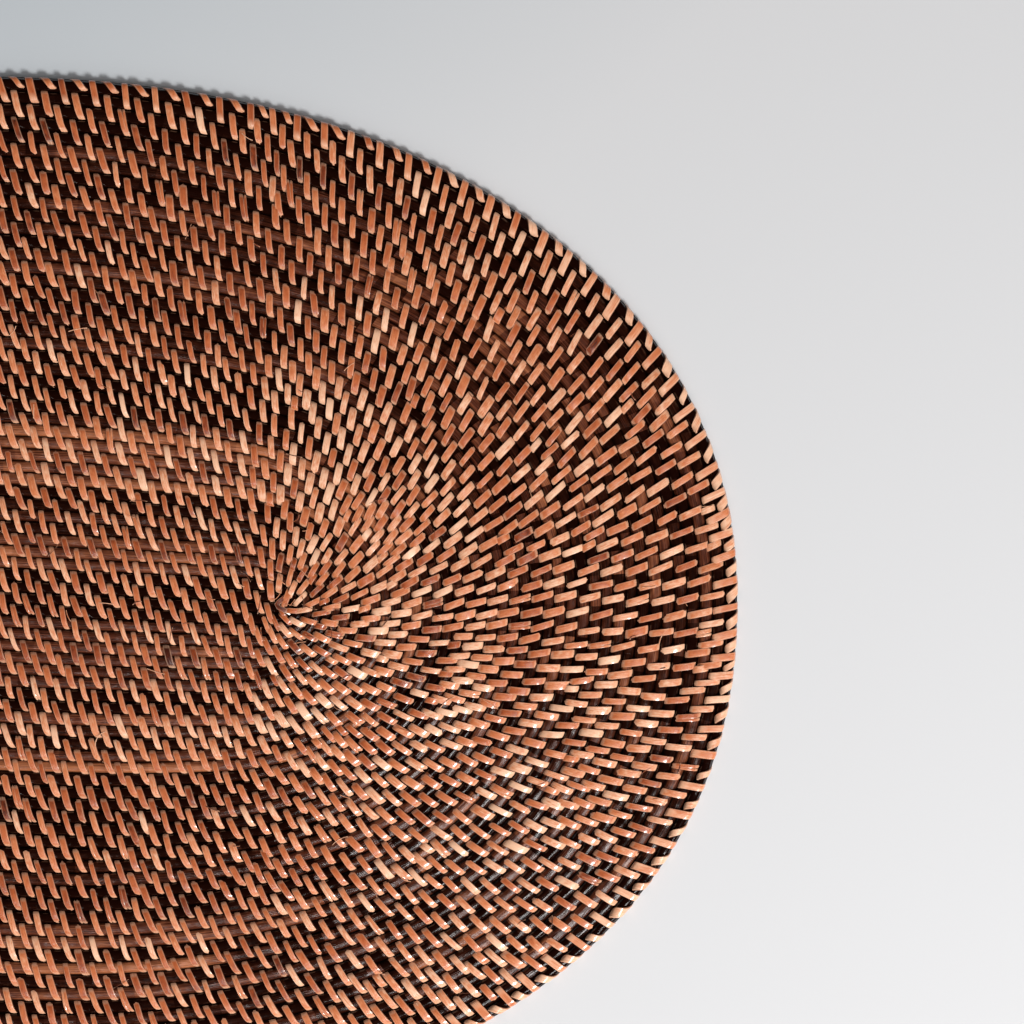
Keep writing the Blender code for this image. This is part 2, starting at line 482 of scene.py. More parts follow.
def strips(paths, across, half_widths, section):
    """Carry a flat section along many paths at once.

    Each path is a row of points. At each, a corner of the section lies its first number times the half
    width along `across`, and its second number, in millimetres, along the cross product of the path's
    tangent and `across`. The ends are closed. Returns points, quads, end faces and the way along each.
    """
    count, stations, _ = paths.shape
    corners = np.array(section)
    tangent = np.gradient(paths, axis=1)
    side = np.broadcast_to(across.reshape(count, -1, 3), paths.shape)
    normal = np.cross(tangent, side)
    normal /= np.linalg.norm(normal, axis=-1, keepdims=True)
    spread = half_widths.reshape(count, -1, 1) * corners[:, 0]
    height = corners[:, 1] * MM
    points = paths[:, :, None] + side[:, :, None] * spread[..., None] + normal[:, :, None] * height[:, None]

    q = len(corners)
    numbers = np.arange(count * stations * q).reshape(count, stations, q)
    turned = np.roll(numbers, -1, axis=2)
    quads = np.stack([numbers[:, :-1], numbers[:, 1:], turned[:, 1:], turned[:, :-1]], axis=-1)
    ends = np.concatenate([numbers[:, 0], numbers[:, -1, ::-1]])

    along = np.linalg.norm(np.diff(paths, axis=1), axis=-1)
    along = np.concatenate([np.zeros((count, 1)), np.cumsum(along, axis=1)], axis=1)
    u = np.broadcast_to((along / along[:, -1:])[:, :, None], (count, stations, q))
    v = np.broadcast_to(corners[:, 0] / 2 + 0.5, (count, stations, q))
    uv = np.stack([u, v], axis=-1).reshape(-1, 2)
    return points.reshape(-1, 3), quads.reshape(-1, 4), ends, uv


def add_strips(name, shape, tone, seed, material):
    """Make one object of the strips, with a `run` UV map and each strip's tone and seed as attributes."""
    points, quads, ends, uv = shape
    mesh = bpy.data.meshes.new(name)
    mesh.from_pydata(points.tolist(), [], quads.tolist() + ends.tolist())
    corner_points = np.zeros(len(mesh.loops), dtype=np.int32)
    mesh.loops.foreach_get("vertex_index", corner_points)
    layer = mesh.uv_layers.new(name="run")
    layer.data.foreach_set("uv", uv[corner_points].astype(np.float32).ravel())
    for label, values in (("tone", tone), ("seed", seed)):
        attribute = mesh.attributes.new(label, "FLOAT", "POINT")
        each = np.repeat(np.asarray(values, dtype=np.float32), len(points) // len(values))
        attribute.data.foreach_set("value", each)
    add_object(name, mesh, material, 45, "splint")


def add_object(name, mesh, material, sharp_angle, slot):
    """Finish a mesh, and put its object on the mat's body."""
    mesh.materials.append(material)
    mesh.shade_smooth()
    mesh.set_sharp_from_angle(angle=math.radians(sharp_angle))
    piece = bpy.data.objects.new(name, mesh)
    bpy.context.scene.collection.objects.link(piece)
    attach(piece, "root")
    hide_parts("coiled_mat")
    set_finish(piece, slot)


def flat(vectors):
    """Plan vectors as vectors in space."""
    return np.concatenate([vectors, np.zeros(vectors.shape[:-1] + (1,))], axis=-1)


class Bench:
    """The nodes of one material, placed in columns as they are made."""

    def __init__(self, name):
        self.material = bpy.data.materials.get(name) or bpy.data.materials.new(name)
        self.material.use_nodes = True
        self.tree = self.material.node_tree
        self.tree.nodes.clear()
        self.count = 0

    def node(self, kind, inputs=(), **settings):
        """Add a node, with its settings, and link or set its inputs, given as (name, value or socket)."""
        made = self.tree.nodes.new(kind)
        made.location = (self.count * 40 - 800, -(self.count % 6) * 180)
        self.count += 1
        for key, value in settings.items():
            setattr(made, key, value)
        for key, value in inputs:
            if isinstance(value, bpy.types.NodeSocket):
                self.tree.links.new(value, made.inputs[key])
            else:
                made.inputs[key].default_value = value
        return made

    def math(self, operation, first, second=0.0, third=0.0):
        """A Math node's result."""
        made = self.node("ShaderNodeMath", ((0, first), (1, second), (2, third)), operation=operation)
        return made.outputs[0]

    def times(self, first, second):
        """Two values multiplied."""
        return self.math("MULTIPLY", first, second)

    def swing(self, noise, strength):
        """Noise from 0 to 1 as an offset about 0, times its strength."""
        return self.times(self.math("SUBTRACT", noise, 0.5), strength)

    def from_half(self, value):
        """How far a value from 0 to 1 lies from its half, as a share of the way."""
        return self.math("ABSOLUTE", self.math("MULTIPLY_ADD", value, 2.0, -1.0))

    def run(self):
        """The place along and across the vine, from its own UV map."""
        place = self.node("ShaderNodeUVMap", uv_map="run").outputs[0]
        return self.node("ShaderNodeSeparateXYZ", ((0, place),)).outputs[:2]

    def attribute(self, name):
        """One of the mesh's own values."""
        return self.node("ShaderNodeAttribute", attribute_name=name).outputs["Fac"]

    def fit(self, value, low, high, to_low, to_high):
        """A value carried from one range to another, and held within it."""
        ranges = ((1, low), (2, high), (3, to_low), (4, to_high))
        return self.node("ShaderNodeMapRange", ((0, value), *ranges)).outputs[0]

    def mix(self, share, first, second):
        """Two colours mixed."""
        made = self.node("ShaderNodeMix", ((0, share), (6, first), (7, second)), data_type="RGBA")
        return made.outputs[2]

    def vector(self, x, y, z):
        """Three values as a vector."""
        return self.node("ShaderNodeCombineXYZ", ((0, x), (1, y), (2, z))).outputs[0]

    def noise(self, place, scale, detail=2.0, roughness=0.5):
        """Soft noise from 0 to 1."""
        settings = (("Vector", place), ("Scale", scale), ("Detail", detail), ("Roughness", roughness))
        return self.node("ShaderNodeTexNoise", settings).outputs[0]

    def ramp(self, value, stops):
        """A colour for each value, between the stops (place, colour)."""
        made = self.node("ShaderNodeValToRGB", ((0, value),))
        bar = made.color_ramp.elements
        while len(bar) < len(stops):
            bar.new(0.5)
        for element, (place, colour) in zip(bar, stops):
            element.position = place
            element.color = (*colour, 1.0)
        return made.outputs[0]

    def finish(self, colour, roughness, height, depth, **sockets):
        """The Principled shader, its bump and the output."""
        bump = self.node("ShaderNodeBump", (("Height", height), ("Distance", depth), ("Strength", 1.0)))
        shader = self.node(
            "ShaderNodeBsdfPrincipled",
            (("Base Color", colour), ("Roughness", roughness), ("Normal", bump.outputs[0])),
        )
        for key, value in sockets.items():
            shader.inputs[key.replace("_", " ")].default_value = value
        self.node("ShaderNodeOutputMaterial", ((0, shader.outputs[0]),))
        return self.material


def splint_material(colours):
    """Split vine: its tone by the stitch, with long grain, blotches, paler edges and ends that are partly
    wear and partly painted highlight, and painted shade on its sloping sides.
    """
    bench = Bench("split_vine")
    along, across = bench.run()
    tone = bench.attribute("tone")
    seed = bench.attribute("seed")
    shift = bench.times(seed, 90.0)

    grain_place = bench.vector(bench.times(along, 2.2), bench.times(across, 7.0), shift)
    grain = bench.noise(grain_place, 1.6, 4.0, 0.65)
    blotch_place = bench.vector(bench.times(along, 3.0), across, shift)
    blotch = bench.noise(blotch_place, 1.3, 2.0)
    level = bench.math("ADD", tone, bench.math("ADD", bench.swing(grain, 0.95), bench.swing(blotch, 0.45)))
    stops = (
        (0.0, colours.splint_pale),
        (0.25, colours.splint_tan),
        (0.52, colours.splint_copper),
        (0.78, colours.splint_red),
        (1.0, colours.splint_dark),
    )
    colour = bench.ramp(level, stops)
    from_middle = bench.from_half(across)
    # Wear and painted highlight: edges and ends are mixed towards the palest splint, partly as real wear and
    # partly as the highlight where the ends bend down towards the light.
    edge = bench.fit(from_middle, 0.55, 0.84, 0.0, 0.50)
    end = bench.fit(bench.from_half(along), 0.62, 0.84, 0.0, 0.80)
    wear_and_highlight = bench.times(bench.math("MAXIMUM", edge, end), bench.fit(grain, 0.3, 0.62, 0.25, 1.0))
    colour = bench.mix(wear_and_highlight, colour, (*colours.splint_pale, 1.0))
    # Painted shade: the splint's sloping sides darken to near black, standing in for the shadow lines beside
    # each stitch.
    colour = bench.mix(bench.fit(from_middle, 0.88, 0.96, 0.0, 0.92), colour, (*colours.splint_dark, 1.0))
    rough = bench.fit(grain, 0.25, 0.75, 0.20, 0.36)
    gloss = {"Coat_Weight": 1.0, "Coat_Roughness": 0.14, "Coat_IOR": 1.5}
    return bench.finish(colour, rough, grain, 0.00014, Specular_IOR_Level=0.5, **gloss)


def core_material(colours):
    """Whole vine: black, brown or tan by its run, in fine glossy strands along the row, with painted shade
    towards the valleys between rows.
    """
    bench = Bench("dark_vine")
    along, across = bench.run()
    tone = bench.attribute("tone")
    fibre_place = bench.vector(bench.times(along, 60.0), bench.times(across, 13.0), 0.0)
    fibre = bench.noise(fibre_place, 1.0, 4.0, 0.62)
    cell_edge = bench.noise(bench.vector(bench.times(along, 90.0), 5.0, 0.0), 1.0, 1.0)
    cell_place = bench.math("MULTIPLY_ADD", cell_edge, 2.2, bench.times(along, 190.0))
    floor = (("W", bench.math("FLOOR", cell_place)),)
    cell = bench.node("ShaderNodeTexWhiteNoise", floor, noise_dimensions="1D")
    cell = bench.math("POWER", cell.outputs["Value"], 1.7)
    patchy = bench.attribute("patchy")
    single = bench.math("MULTIPLY_ADD", cell, 0.84, 0.02)
    tone = bench.math("MULTIPLY_ADD", bench.math("SUBTRACT", single, tone), patchy, tone)
    patch_place = bench.vector(bench.times(along, 260.0), bench.times(across, 2.5), 7.0)
    patch = bench.noise(patch_place, 1.0, 2.0, 0.5)
    mottle = bench.math("ADD", bench.swing(fibre, 1.0), bench.swing(patch, 0.34))
    mottle = bench.times(mottle, bench.fit(tone, 0.1, 0.4, 0.35, 1.0))
    stops = (
        (0.0, colours.core_black),
        (0.22, [1.3 * part for part in colours.core_black]),
        (0.40, [0.40 * part for part in colours.core_brown]),
        (0.58, colours.core_brown),
        (0.95, colours.core_tan),
    )
    colour = bench.ramp(bench.math("ADD", tone, mottle), stops)
    from_middle = bench.from_half(across)
    # Painted shade: each row darkens towards black near its valleys, where the rows meet and shade falls.
    darker = bench.mix(bench.fit(from_middle, 0.72, 0.94, 0.0, 0.85), colour, (*colours.core_black, 1.0))
    swell = bench.noise(bench.vector(bench.times(along, 210.0), across, 11.0), 1.0, 1.0, 0.4)
    height = bench.times(bench.fit(tone, 0.15, 0.45, 0.22, 1.2), fibre)
    height = bench.math("MULTIPLY_ADD", swell, 3.6, height)
    rough = bench.math("ADD", bench.fit(fibre, 0.3, 0.7, 0.06, 0.14), bench.fit(tone, 0.1, 0.5, 0.0, 0.2))
    return bench.finish(darker, rough, height, 0.00014, Specular_IOR_Level=0.5)


def add_core(sizes, colours):
    """The core as one closed spiral: its strands on the face, its foot beneath and its edge between them.

    Each line of the face lies between the row's middle and its inner or outer valley, at its share of
    the way to it. A row's outer valley is the next row's inner one.
    """
    coil = Coil(sizes)
    rng = np.random.default_rng(sizes.seed + 1)
    gap = AROUND / CORE_STEPS
    behind = int(round(BEND_START / gap))
    last = int(COIL_END / gap)
    rim = last - CORE_STEPS
    way = np.arange(last + 1)
    steps = way * gap
    outer_steps = np.arange(-behind, last + 1) * gap
    edge_row = EDGE_ROW - CORE_INSET
    rows = core_rows(steps)
    outer_row = np.minimum(core_rows(outer_steps) + 0.5, edge_row)
    wobble = smooth_noise(rng, len(outer_steps), 5) * VALLEY_WANDER
    wobble[-CORE_STEPS:] *= 0.3
    outer_xy = coil.point(np.maximum(outer_row + wobble, 0.1), outer_steps)
    outer_xy = np.where((outer_row >= edge_row)[:, None], coil.point(outer_row, outer_steps), outer_xy)
    inner_of = np.maximum(way - CORE_STEPS, -np.minimum(way, behind)) + behind
    outer_of = way + behind
    outside = outer_row[outer_of]
    width = np.minimum(outside - (rows - 0.5), 1)
    middle_xy = coil.point((np.maximum(rows - 0.5, 0) + outside) / 2, steps)
    start = steps < AROUND / 2
    middle_xy[start] = coil.point(rows[start], steps[start])

    points = []

    def line(xy, height):
        """Add a line of points, and give their numbers."""
        first = sum(len(block) for block in points)
        points.append(np.column_stack([xy, height]))
        return first + np.arange(len(xy))

    def side(course, valley):
        """The numbers of one side's lines, from the inner valley to the outer one."""
        lift = smooth_noise(rng, len(outer_steps), 6) * VALLEY_LIFT
        outer = line(outer_xy, (valley + lift) * MM)
        lines = []
        for share, height in course:
            to = outer_xy[inner_of] if share < 0 else outer_xy[outer_of]
            level = valley + (height - valley) * width + smooth_noise(rng, last + 1, 6) * STRAND_LIFT
            lines.append(line(middle_xy + (to - middle_xy) * abs(2 * share), level * MM))
        centre = len(lines) // 2
        lines[centre][steps <= END_STEPS] = lines[centre][0]
        for below, above in zip(lines[:centre], lines[:centre:-1]):
            below[0] = above[0]
        return [outer[inner_of], *lines, outer[outer_of]], [-0.5, *[share for share, _ in course], 0.5]

    top, top_shares = side(CORE_TOP, CORE_TOP_VALLEY)
    foot, foot_shares = side(CORE_FOOT, CORE_FOOT_VALLEY)
    bulge, height = CORE_EDGE
    edge_xy = coil.point(np.minimum(outside[rim:] + bulge, edge_row + bulge), steps[rim:])
    edge = np.full(last + 1, -1)
    edge[rim:] = line(edge_xy, np.full(CORE_STEPS + 1, height * MM))

    length = coil.length_at(steps)
    turns, lengths_tone = np.array(CORE_LENGTHS).T
    run = lengths_tone[np.searchsorted(turns, steps / AROUND, side="right") - 1]
    run = run + np.where(run > 0.2, 1.0, 0.3) * runs_of_tone(rng, last + 1, 3, 22, -0.12, 0.12)
    run += smooth_noise(rng, last + 1, 12) * 0.03
    end_share = coil.end_share(steps)
    near_start = np.clip(2 - steps / AROUND / 5, 0, 1)
    run = run * (1 - 0.5 * end_share * near_start)
    near_edge = np.clip((ROWS - rows) / 6, 0.15, 1)
    patchy = 0.12 + 0.5 * end_share * (1 - 0.6 * near_start) * near_edge

    blocks = []

    def band(left, right, v_left, v_right, start=0):
        """Faces between two lines, seen from outside with the coil running away from the eye."""
        ways = np.arange(start, last)[:, None] + (0, 0, 1, 1)
        numbers = np.stack([left[start:-1], right[start:-1], right[start + 1 :], left[start + 1 :]], axis=-1)
        v = np.broadcast_to(np.array((v_left, v_right, v_right, v_left)) + 0.5, ways.shape)
        for pick in ([0, 1, 2], [0, 2, 3]):
            way_of = ways[:, pick]
            blocks.append((numbers[:, pick], length[way_of], v[:, pick], run[way_of], patchy[way_of]))

    for (left, right), shares in zip(zip(top, top[1:]), zip(top_shares, top_shares[1:])):
        band(left, right, *shares)
    for (right, left), shares in zip(zip(foot, foot[1:]), zip(foot_shares, foot_shares[1:])):
        band(left, right, *reversed(shares))
    band(top[-1], edge, 0.5, 0.6, rim)
    band(edge, foot[-1], 0.6, 0.5, rim)

    ring = [line_of[last] for line_of in top] + [edge[last]] + [line_of[last] for line_of in reversed(foot)]
    ring = np.array([*ring, edge[rim]])
    fan = np.column_stack([np.full(len(ring) - 2, ring[0]), ring[1:-1], ring[2:]])
    blocks.append((fan, *(np.full(fan.shape, value) for value in (0.5, 0.5, 0.1, 0.0))))

    triangles, u, v, tones, patches = (np.concatenate(part) for part in zip(*blocks))
    apart = (triangles != np.roll(triangles, 1, axis=1)).all(axis=1)
    triangles, tones, patches = triangles[apart], tones[apart], patches[apart]
    uvs = np.stack([u[apart], v[apart]], axis=-1)
    used, numbers = np.unique(triangles, return_inverse=True)
    mesh = bpy.data.meshes.new("vine_core")
    mesh.from_pydata(np.concatenate(points)[used].tolist(), [], numbers.reshape(-1, 3).tolist())
    layer = mesh.uv_layers.new(name="run")
    layer.data.foreach_set("uv", uvs.astype(np.float32).ravel())
    for label, values in (("tone", tones), ("patchy", patches)):
        attribute = mesh.attributes.new(label, "FLOAT", "CORNER")
        attribute.data.foreach_set("value", values.astype(np.float32).ravel())
    add_object("vine_core", mesh, core_material(colours), 58, "core")


class Stitches:
    """Where each stitch lies, its size, tone and seed."""

    def __init__(self, sizes):
        coil = Coil(sizes)
        rng = np.random.default_rng(sizes.seed + 2)
        self.steps, added = stitch_steps(coil, sizes)
        count = len(self.steps)
        self.centre, self.tangent, self.normal, self.pitch = coil.valley(self.steps)
        length = coil.length_at(self.steps)
        gap = np.diff(length)
        gap = np.minimum(np.append(gap, gap[-1]), np.insert(gap, 0, gap[0]))
        self.row = core_rows(self.steps) + 0.5
        self.on_rim = self.steps > RIM_START - AROUND
        fan = coil.end_share(self.steps)

        def uneven(spread):
            """A factor near 1 for each stitch."""
            return 1 + spread * rng.normal(size=count)

        self.lean = fan * sizes.end_lean + (1 - fan) * sizes.side_lean
        self.lean = self.lean + rng.normal(size=count) * LEAN_SPREAD
        downward = np.clip(0.5 - 0.9 * self.normal[:, 1], 0, 1)
        bend = sizes.side_bend * (0.3 + 0.7 * (1 - fan)) * uneven(BEND_SPREAD)
        self.outer_bend = bend * (0.25 + 0.75 * downward)
        self.inner_bend = bend * (0.25 + 0.75 * (1 - downward))
        width = sizes.stitch_width * (1 + runs_of_tone(rng, count, 12, 60, -0.15, 0.15))
        width *= uneven(WIDTH_SPREAD) * (1 + 0.14 * fan * np.clip(self.row / 9, 0, 1))
        self.half_width = np.minimum(width, 0.50 * gap) / 2
        self.inner = np.full(count, sizes.stitch_reach)
        self.inner = np.where(fan > 0.5, np.minimum(self.inner, self.row - 0.12), self.inner)
        self.inner *= uneven(REACH_SPREAD)
        self.inner = np.where(added & (self.row > 3) & (fan > 0.5), ADDED_REACH, self.inner)
        self.outer = sizes.stitch_reach * uneven(REACH_SPREAD)
        self.tone = stitch_tones(rng, count) - 0.15 * fan * np.clip(self.row / 20, 0, 1)
        self.seed = rng.uniform(size=count)
        self.roll = rng.normal(size=count) * ROLL_SPREAD
        self.lift = rng.normal(size=count) * LIFT_SPREAD * MM
        self.split = rng.uniform(size=count) < SPLIT_SHARE


def stitch_tones(rng, count):
    """A tone for each stitch: one for each length of vine, a little different from stitch to stitch."""
    run = runs_of_tone(rng, count, 18, 70, 0, 1)
    tone = np.interp(run, (0, 0.2, 0.5, 0.8, 1.0), (0.16, 0.29, 0.42, 0.55, 0.72))
    single = rng.uniform(size=count)
    tone = tone + rng.normal(size=count) * 0.09
    return np.where(single < 0.03, tone + 0.2, np.where(single > 0.95, tone - 0.14, tone))


def laid_paths(marks, axis, out, along, height):
    """A path from each valley point: so far out by the axis, so far along the row, and at each height."""
    plan = marks.centre[:, None] + axis[:, None] * out[..., None]
    plan = plan + marks.tangent[:, None] * along[..., None]
    return np.concatenate([plan, np.broadcast_to(height, out.shape)[..., None]], axis=-1)


def stitch_paths(marks, share, height, side):
    """Each stitch's path, at heights by its share of the way from the middle. The side is -1 beneath.

    In plan it leans from the row's normal, and swings on along the row by the bend times the square of
    the way gone through each end's last two thirds.
    """
    lean = marks.lean * side
    axis = marks.normal * np.cos(lean)[:, None] + marks.tangent * np.sin(lean)[:, None]
    middle = (marks.outer - marks.inner) / 2
    half = (marks.outer + marks.inner) / 2
    reach = (middle[:, None] + half[:, None] * share) * (marks.pitch / np.cos(lean))[:, None]
    swing = np.clip((np.abs(share) - 0.3) / 0.7, 0, 1) ** 2
    swing = swing * np.where(share > 0, marks.outer_bend[:, None], -marks.inner_bend[:, None]) * side
    return laid_paths(marks, axis, reach, swing, height)


class Some:
    """A chosen part of the stitches."""

    def __init__(self, marks, chosen):
        for key, values in vars(marks).items():
            setattr(self, key, values[chosen])


def face_splints(marks, across, top, part=1.0):
    """The face's stitches as strips, at a part of their width."""
    share, drop, spread = np.array(STITCH_COURSE).T
    paths = stitch_paths(marks, share, top - drop * MM + marks.lift[:, None], 1)
    width = marks.half_width[:, None] * part / np.cos(marks.lean)[:, None] * spread
    return strips(paths, across, width, SPLINT_SECTION)


def add_face_stitches(sizes, colours):
    """The stitches on the face: thin splints that dip into the valleys at their ends."""
    marks = Stitches(sizes)
    top = sizes.mat_thickness
    material = splint_material(colours)
    plain = Some(marks, ~marks.on_rim & ~marks.split)
    for number, band in enumerate(np.array_split(np.arange(len(plain.steps)), 3), 1):
        some = Some(plain, band)
        across = flat(some.tangent) + np.sin(some.roll)[:, None] * np.array([0, 0, 1.0])
        shape = face_splints(some, across, top)
        add_strips(f"face_stitches_{number}", shape, some.tone, some.seed, material)
    torn = Some(marks, ~marks.on_rim & marks.split)
    shapes = []
    for share, part in SPLIT_HALVES:
        half = Some(torn, slice(None))
        shift = torn.half_width * share / np.cos(torn.lean)
        half.centre = torn.centre + torn.tangent * shift[:, None]
        half.lean = torn.lean + 0.05 * share
        half.lift = torn.lift + 0.06 * MM * share
        shapes.append(face_splints(half, flat(half.tangent), top, part))
    tone = np.concatenate([torn.tone, torn.tone + 0.1])
    seed = np.concatenate([torn.seed, torn.seed + 0.01])
    add_strips("split_stitches", joined(shapes), tone, seed, material)


def add_start_turn(sizes, material):
    """The dark splint turned back round the start line's tip."""
    turn = np.array(TURN_COURSE) * MM + (sizes.start_length / 2 - 0.0004, 0, sizes.mat_thickness)
    step = np.gradient(turn, axis=0)
    across = np.stack([-step[:, 1], step[:, 0], step[:, 0] * 0], axis=-1)
    across /= np.linalg.norm(across, axis=-1, keepdims=True)
    shape = strips(turn[None], across[None], np.full((1, len(turn)), TURN_HALF_WIDTH), SPLINT_SECTION)
    add_strips("start_turn", shape, [0.92], [0.37], material)


def add_fibres(sizes, material):
    """Fine fibres lifted off the splints, and a few more near the start line's tip.

    A fibre starts beside a stitch and follows an arc: its heading turns evenly along it. Its height
    is a low arch.
    """
    marks = Stitches(sizes)
    rng = np.random.default_rng(sizes.seed + 4)
    count = FIBRES
    chosen = rng.choice(np.nonzero(~marks.on_rim)[0], count, replace=False)
    near = rng.uniform(size=count) < FIBRES_AT_TIP
    middle = marks.centre[chosen] + rng.normal(size=(count, 2)) * FIBRE_PLACE
    tip = (sizes.start_length / 2 + 0.002, 0.0)
    middle[near] = np.array(tip) + rng.normal(size=(near.sum(), 2)) * FIBRE_TIP_PLACE
    along = np.arctan2(marks.tangent[chosen, 1], marks.tangent[chosen, 0])
    heading = along + np.where(rng.uniform(size=count) < 0.5, 0, math.pi / 2)
    heading = heading + rng.normal(size=count) * 0.45
    length = rng.uniform(*FIBRE_LENGTH, size=count)
    way = np.linspace(-0.5, 0.5, FIBRE_STATIONS)
    angle = heading[:, None] + rng.normal(size=count)[:, None] * 0.8 * way
    stride = (length / (FIBRE_STATIONS - 1))[:, None]
    plan = np.cumsum(np.stack([np.cos(angle), np.sin(angle)], axis=-1) * stride[..., None], axis=1)
    plan += (middle - plan.mean(axis=1))[:, None]
    arch = 0.12 - 0.9 * (2 * way) ** 2 * rng.uniform(0.2, 0.6, size=count)[:, None]
    paths = np.concatenate([plan, (sizes.mat_thickness + arch * MM)[..., None]], axis=-1)
    across = np.stack([-np.sin(angle), np.cos(angle), 0 * angle], axis=-1)
    width = np.repeat(rng.uniform(*FIBRE_HALF_WIDTH, size=count)[:, None], FIBRE_STATIONS, axis=1)
    dark = rng.uniform(size=count) < DARK_FIBRES
    tone = np.where(dark, rng.uniform(0.7, 1.0, size=count), rng.uniform(0, 0.3, size=count))
    shape = strips(paths, across, width, FIBRE_SECTION)
    add_strips("loose_fibres", shape, tone, rng.uniform(size=count), material)


def add_loose_ends(sizes, colours):
    """The turned splint and the fibres."""
    material = splint_material(colours)
    add_start_turn(sizes, material)
    add_fibres(sizes, material)


def joined(shapes):
    """Several results of strips as one."""
    shift = np.cumsum([0] + [len(shape[0]) for shape in shapes[:-1]])
    points, quads, ends, uvs = zip(*shapes)
    quads = [block + first for block, first in zip(quads, shift)]
    ends = [block + first for block, first in zip(ends, shift)]
    return tuple(np.concatenate(part) for part in (points, quads, ends, uvs))


def add_foot_stitches(sizes, colours):
    """The same splints beneath the mat, on their way from one stitch to the next."""
    marks = Stitches(sizes)
    coil = Coil(sizes)
    under = Some(marks, ~marks.on_rim)
    length = coil.length_at(under.steps)
    between = coil.step_at((length[:-1] + length[1:]) / 2)
    under = Some(under, slice(None, -1))
    under.centre, under.tangent, under.normal, under.pitch = coil.valley(between)
    material = splint_material(colours)
    share, height = np.array(FOOT_COURSE).T
    for number, band in enumerate(np.array_split(np.arange(len(under.steps)), 2), 1):
        some = Some(under, band)
        paths = stitch_paths(some, share, height * MM, -1)[:, ::-1]
        width = some.half_width / np.cos(some.lean)
        shape = strips(paths, flat(some.tangent), width, FOOT_SECTION)
        add_strips(f"foot_stitches_{number}", shape, some.tone, some.seed, material)


def wrap_paths(marks, course, reach, lean):
    """Paths that go over the mat's edge: outwards by the course's shares of `reach`, at its heights.

    Each moves along the row by the tangent of its lean times the way gone, from the face round beneath.
    """
    share, height = np.array(course).T
    out = reach[:, None] * share
    out = np.where(share > 0, out, marks.pitch[:, None] * share)
    level = np.broadcast_to(height * MM, out.shape)
    way = np.hypot(np.diff(out, axis=1), np.diff(level, axis=1))
    way = np.concatenate([np.zeros((len(out), 1)), np.cumsum(way, axis=1)], axis=1)
    start = int(np.argmax(share >= 0))
    way = way - way[:, start : start + 1]
    return laid_paths(marks, marks.normal, out, np.tan(lean)[:, None] * way, level)


def square_across(paths, marks):
    """The direction square across each path, in the surface that it lies on.

    The surface runs along the row, so its normal is the path's step with its part along the row taken
    out, crossed with the row's tangent. The answer is that normal crossed with the step.
    """
    step = np.gradient(paths, axis=1)
    row = flat(marks.tangent)[:, None]
    outward = step - row * np.sum(step * row, axis=-1, keepdims=True)
    face = np.cross(outward, row)
    across = np.cross(face, step)
    return across / np.linalg.norm(across, axis=-1, keepdims=True)


def add_rim(sizes, colours):
    """The edge: long stitches that go on over it, and between them short pale wraps of the last row."""
    marks = Stitches(sizes)
    coil = Coil(sizes)
    rng = np.random.default_rng(sizes.seed + 3)
    material = splint_material(colours)
    rim = Some(marks, marks.on_rim)
    reach = (EDGE_ROW - rim.row) * rim.pitch
    paths = wrap_paths(rim, LONG_TOP + WRAP_EDGE + LONG_FOOT, reach, rim.lean)
    shape = strips(paths, flat(rim.tangent), rim.half_width / np.cos(rim.lean), SPLINT_SECTION)
    add_strips("edge_stitches", shape, rim.tone, rim.seed, material)

    length = coil.length_at(rim.steps)
    between = coil.step_at(length[:-1] + (length[1:] - length[:-1]) * sizes.wrap_place)
    short = Some(rim, slice(None, -1))
    short.centre, short.tangent, short.normal, short.pitch = coil.valley(between)
    short.row = core_rows(between) + 0.5
    count = len(between)
    lean = sizes.wrap_lean + rng.normal(size=count) * WRAP_LEAN_SPREAD
    reach = (EDGE_ROW - short.row) * short.pitch
    paths = wrap_paths(short, WRAP_TOP + WRAP_EDGE + WRAP_FOOT, reach, lean)
    fan = coil.end_share(between) * (short.normal[:, 0] > 0)
    width = sizes.wrap_width / 2 * (0.82 + 0.3 * fan) * (1 + WRAP_WIDTH_SPREAD * rng.normal(size=count))
    tone = WRAP_TONE + WRAP_END_TONE * fan + WRAP_TONE_SPREAD * rng.uniform(size=count)
    tone = np.where(rng.uniform(size=count) < DARK_WRAPS, tone + WRAP_DARKER, tone)
    shape = strips(paths, square_across(paths, short), width, SPLINT_SECTION)
    add_strips("edge_wraps", shape, tone, rng.uniform(size=count), material)


